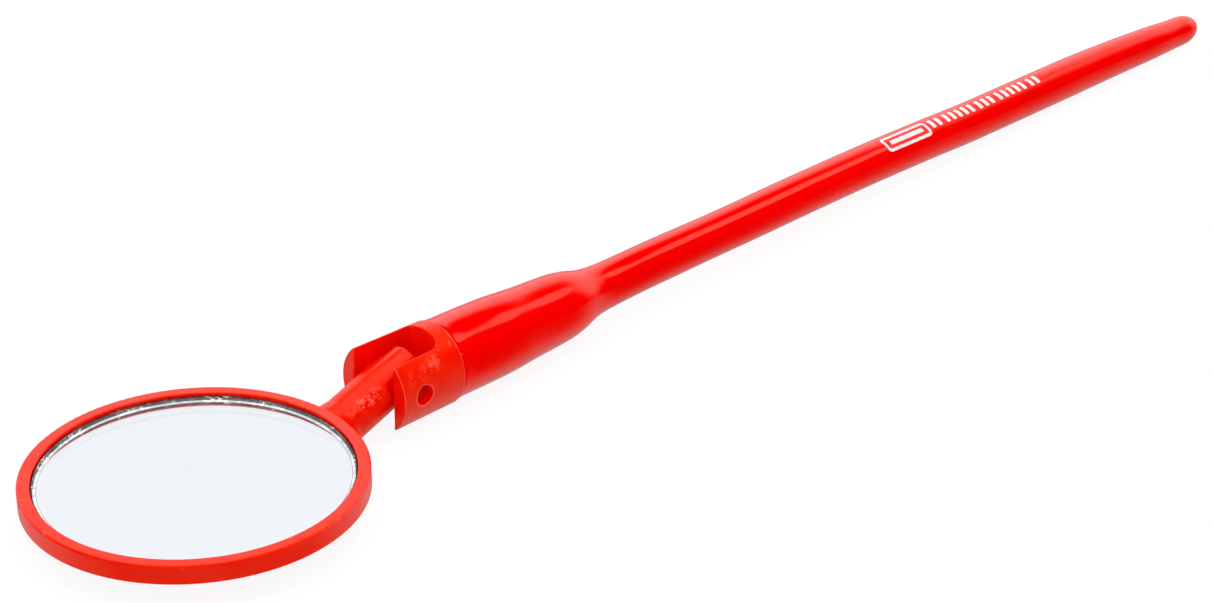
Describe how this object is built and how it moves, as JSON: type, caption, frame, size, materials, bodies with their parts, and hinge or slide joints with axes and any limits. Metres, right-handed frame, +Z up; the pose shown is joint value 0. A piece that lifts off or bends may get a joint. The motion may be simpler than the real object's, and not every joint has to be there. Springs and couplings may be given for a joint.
{
  "type": "inspection mirror",
  "caption": "Round inspection mirror in a moulded tray, tilting on a friction hinge in the forked head of a slim insulated handle.",
  "frame": {"origin": "centre of the outline, on the surface that the tool lies on", "axes": "+X from the mirror towards the handle's tip, +Z up, hinge axis along Y"},
  "size_m": [0.2978, 0.054, 0.0147],
  "materials": {
    "moulded_tray": "finely textured moulding",
    "mirror_glass": "polished faces, ground edge",
    "silvering": "mirror",
    "backing_paint": "matt paint",
    "bonding_tape": "foam tape",
    "moulded_head": "finely textured moulding",
    "pivot_pin": "turned",
    "spacers": "smooth",
    "handle_rod": "drawn glass-fibre rod",
    "sleeve_coat": "glossy dipped coat",
    "marking_ink": "screen print"
  },
  "bodies": {
    "handle": {"fork_head": "moulded_head", "pivot_pin": "pivot_pin", "near_spacer": "spacers", "far_spacer": "spacers", "handle_rod": "handle_rod", "insulating_sleeve": "sleeve_coat", "printed_marking": "marking_ink"},
    "mirror_head": {"mirror_frame": "moulded_tray", "mirror_glass": "mirror_glass", "mirror_silvering": "silvering", "backing_paint": "backing_paint", "bonding_tape": "bonding_tape"}
  },
  "joints": [
    {"name": "mirror_tilt", "type": "hinge", "parent": "handle", "child": "mirror_head", "pos_m": [-0.08053, 0, 0.00752], "axis": [0, 1, 0], "range_deg": [-70, 110]}
  ]
}
